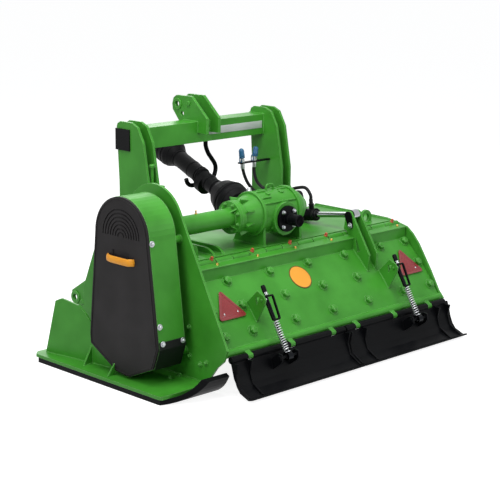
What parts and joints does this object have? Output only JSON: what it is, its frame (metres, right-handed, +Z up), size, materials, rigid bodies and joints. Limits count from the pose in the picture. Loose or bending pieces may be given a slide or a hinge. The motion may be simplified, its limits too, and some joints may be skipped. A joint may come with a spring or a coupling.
{
  "type": "tractor stone crusher",
  "caption": "Three-point stone crusher with a toothed rotor, side belt drive, hydraulic rear hood, sprung skirts and a telescopic drive shaft parked on its hook.",
  "frame": {"origin": "middle of the overall box on the ground", "axes": "+X to the machine's right seen from behind, +Y forward to the tractor, +Z up"},
  "size_m": [1.97, 1.68, 1.24],
  "materials": {
    "green_paint": "glossy leaf green enamel over welded plate",
    "green_cast": "leaf green enamel over rough castings",
    "black_paint": "satin black paint",
    "cover_black": "matt charcoal moulding",
    "orange_paint": "orange grip",
    "black_plastic": "black moulded plug",
    "zinc_steel": "zinc plated",
    "chrome_rod": "hard chrome",
    "spring_steel": "zinc plated wire",
    "wear_steel": "rolled wear plate, dull grey",
    "hose_rubber": "black rubber",
    "blue_plastic": "blue dust caps",
    "guard_plastic": "black polyethylene guard"
  },
  "bodies": {
    "frame": {"side_plate_left": "green_paint", "side_plate_right": "green_paint", "housing_shell": "green_paint", "anvil_bar": "wear_steel", "hood_hinge_pin": "zinc_steel", "skid_shelf": "green_paint", "skid_guard": "green_paint", "sole_left": "black_paint", "sole_right": "black_paint", "drive_casing": "green_paint", "casing_cover": "cover_black", "cover_handle": "orange_paint", "service_panel": "black_paint", "tower_left": "green_paint", "tower_right": "green_paint", "cross_beam": "green_paint", "beam_caps": "black_plastic", "top_link_bracket": "green_paint", "gearbox": "green_cast", "gearbox_cap": "black_paint", "gearbox_feet": "green_paint", "cross_tube": "green_paint", "rotor_bearing": "green_cast", "lifting_eyes": "green_paint", "shaft_hook": "hose_rubber", "coupler_rack": "black_paint", "couplers": "blue_plastic", "lift_anchor": "green_paint", "hose_left": "hose_rubber", "hose_right": "hose_rubber"},
    "hood": {"hood_shell": "green_paint", "hood_liners": "wear_steel", "lift_arms": "green_paint", "lift_pin": "black_paint", "spring_brackets": "green_paint"},
    "barrel": {"lift_barrel": "black_paint"},
    "rod": {"lift_rod": "chrome_rod"},
    "flap_left": {"skirt_left": "black_paint"},
    "flap_right": {"skirt_right": "black_paint"},
    "loop_left": {"guide_left": "black_paint", "spring_left": "spring_steel"},
    "loop_right": {"guide_right": "black_paint", "spring_right": "spring_steel"},
    "pusher_left": {"push_rod_left": "zinc_steel"},
    "pusher_right": {"push_rod_right": "zinc_steel"},
    "rotor": {"rotor": "wear_steel"},
    "shaft": {"shaft_bell": "guard_plastic"},
    "sleeve": {"shaft_sleeve": "guard_plastic"},
    "yoke": {"shaft_yoke": "zinc_steel"}
  },
  "joints": [
    {"name": "rotor_spin", "type": "hinge", "parent": "frame", "child": "rotor", "pos_m": [0.125, -0.23, 0.275], "axis": [1, 0, 0], "continuous": true},
    {"name": "hood_lift", "type": "hinge", "parent": "frame", "child": "hood", "pos_m": [0.125, -0.35, 0.545], "axis": [-1, 0, 0], "range_deg": [0, 30]},
    {"name": "cylinder_tilt", "type": "hinge", "parent": "frame", "child": "barrel", "pos_m": [0.53, 0.06, 0.588], "axis": [1, 0, 0], "range_deg": [-8, 8]},
    {"name": "rod_slide", "type": "slide", "parent": "barrel", "child": "rod", "axis": [0, 0.9896, -0.1439], "range_m": [0, 0.058]},
    {"name": "flap_left", "type": "hinge", "parent": "hood", "child": "flap_left", "pos_m": [-0.355, -0.692, 0.172], "axis": [-1, 0, 0], "range_deg": [0, 40]},
    {"name": "loop_left", "type": "hinge", "parent": "hood", "child": "loop_left", "pos_m": [-0.355, -0.626, 0.4], "axis": [-1, 0, 0], "range_deg": [-1, 8]},
    {"name": "push_left", "type": "slide", "parent": "loop_left", "child": "pusher_left", "axis": [0, 0.4991, 0.8665], "range_m": [0, 0.049], "deforming": ["spring_left"]},
    {"name": "flap_right", "type": "hinge", "parent": "hood", "child": "flap_right", "pos_m": [0.615, -0.692, 0.172], "axis": [-1, 0, 0], "range_deg": [0, 40]},
    {"name": "loop_right", "type": "hinge", "parent": "hood", "child": "loop_right", "pos_m": [0.615, -0.626, 0.4], "axis": [-1, 0, 0], "range_deg": [-1, 8]},
    {"name": "push_right", "type": "slide", "parent": "loop_right", "child": "pusher_right", "axis": [0, 0.4991, 0.8665], "range_m": [0, 0.049], "deforming": ["spring_right"]},
    {"name": "shaft_lift", "type": "hinge", "parent": "frame", "child": "shaft", "pos_m": [0.065, -0.02, 0.69], "axis": [1, 0, 0], "range_deg": [0, 8]},
    {"name": "sleeve_slide", "type": "slide", "parent": "shaft", "child": "sleeve", "axis": [0.1324, 0.9418, 0.309], "range_m": [0, 0.12]},
    {"name": "yoke_spin", "type": "hinge", "parent": "sleeve", "child": "yoke", "pos_m": [0.16295, 0.67693, 0.91867], "axis": [0.1324, 0.9418, 0.309], "continuous": true}
  ],
  "couplings": [
    {"joint": "cylinder_tilt", "follows": "hood_lift", "ratio": -0.05501},
    {"joint": "rod_slide", "follows": "hood_lift", "m_per_rad": 0.10725},
    {"joint": "loop_left", "follows": "flap_left", "ratio": 0.15678},
    {"joint": "push_left", "follows": "flap_left", "m_per_rad": 0.068081},
    {"joint": "loop_right", "follows": "flap_right", "ratio": 0.15678},
    {"joint": "push_right", "follows": "flap_right", "m_per_rad": 0.068081},
    {"joint": "yoke_spin", "follows": "rotor_spin", "ratio": 1}
  ]
}
